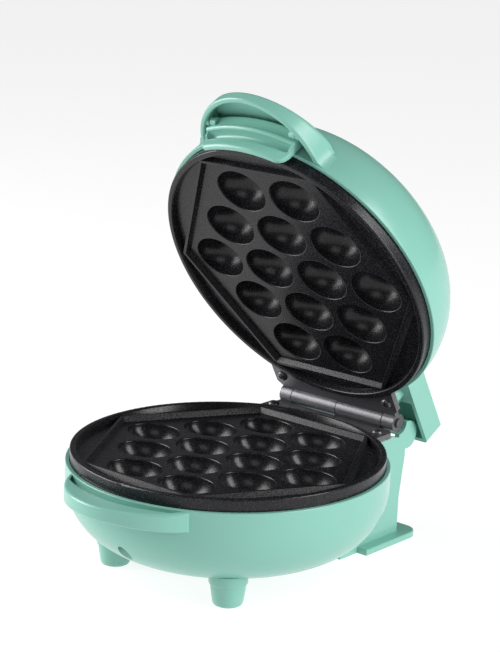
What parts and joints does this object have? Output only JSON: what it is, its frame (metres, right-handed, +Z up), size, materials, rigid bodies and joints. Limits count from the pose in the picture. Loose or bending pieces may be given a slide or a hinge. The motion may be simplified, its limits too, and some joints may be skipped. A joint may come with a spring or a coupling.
{
  "type": "donut maker",
  "caption": "Round tabletop donut maker with two hinged pocket baking plates, a domed lid with arched grip and latch clip, front feet and a rear stand.",
  "frame": {"origin": "on the floor, under the middle of the appliance's outline as it stands open", "axes": "+X to the right, +Y back towards the hinge, +Z up"},
  "size_m": [0.185, 0.2468, 0.2708],
  "materials": {
    "mint_shell": "glossy mint green moulded plastic",
    "non_stick": "die-cast aluminium with black speckled non-stick coating",
    "hinge_metal": "die-cast aluminium with black satin coating",
    "steel": "zinc plated steel",
    "black_steel": "blackened steel screws",
    "element_tube": "dull steel sheath of a heating element",
    "reflector_sheet": "bright aluminium sheet",
    "dark_plastic": "black heat-proof plastic",
    "rubber": "matte black rubber",
    "lens": "clear coloured lens",
    "sleeve": "woven glass sleeve"
  },
  "bodies": {
    "base": {"base_shell": "mint_shell", "cord_bushing": "rubber", "front_feet": "mint_shell", "hinge_pin": "black_steel", "lower_element": "element_tube", "lower_hinge_leaf": "hinge_metal", "lower_leaf_screws": "black_steel", "lower_plate": "non_stick", "lower_plate_screws": "steel", "lower_reflector": "reflector_sheet", "lower_straps": "steel", "lower_thermostat": "dark_plastic", "rear_stand": "mint_shell", "stand_screws": "steel", "thermal_fuse": "sleeve"},
    "lid": {"hinge_hood": "mint_shell", "hood_screws": "steel", "indicator_lenses": "lens", "lamp_holder": "dark_plastic", "latch_pin": "steel", "lid_shell": "mint_shell", "upper_element": "element_tube", "upper_hinge_leaf": "hinge_metal", "upper_leaf_screws": "black_steel", "upper_plate": "non_stick", "upper_plate_screws": "steel", "upper_reflector": "reflector_sheet", "upper_straps": "steel", "upper_thermostat": "dark_plastic"},
    "latch": {"latch_clip": "mint_shell"}
  },
  "joints": [
    {"name": "lid_hinge", "type": "hinge", "parent": "base", "child": "lid", "pos_m": [0, 0.08867, 0.0715], "axis": [-1, 0, 0], "range_deg": [-60.7, 41]},
    {"name": "latch_pivot", "type": "hinge", "parent": "lid", "child": "latch", "pos_m": [0, -0.00017, 0.25064], "axis": [-1, 0, 0], "range_deg": [0, 9], "stiffness_Nm_per_rad": 0.05, "springref_deg": -6.88}
  ]
}
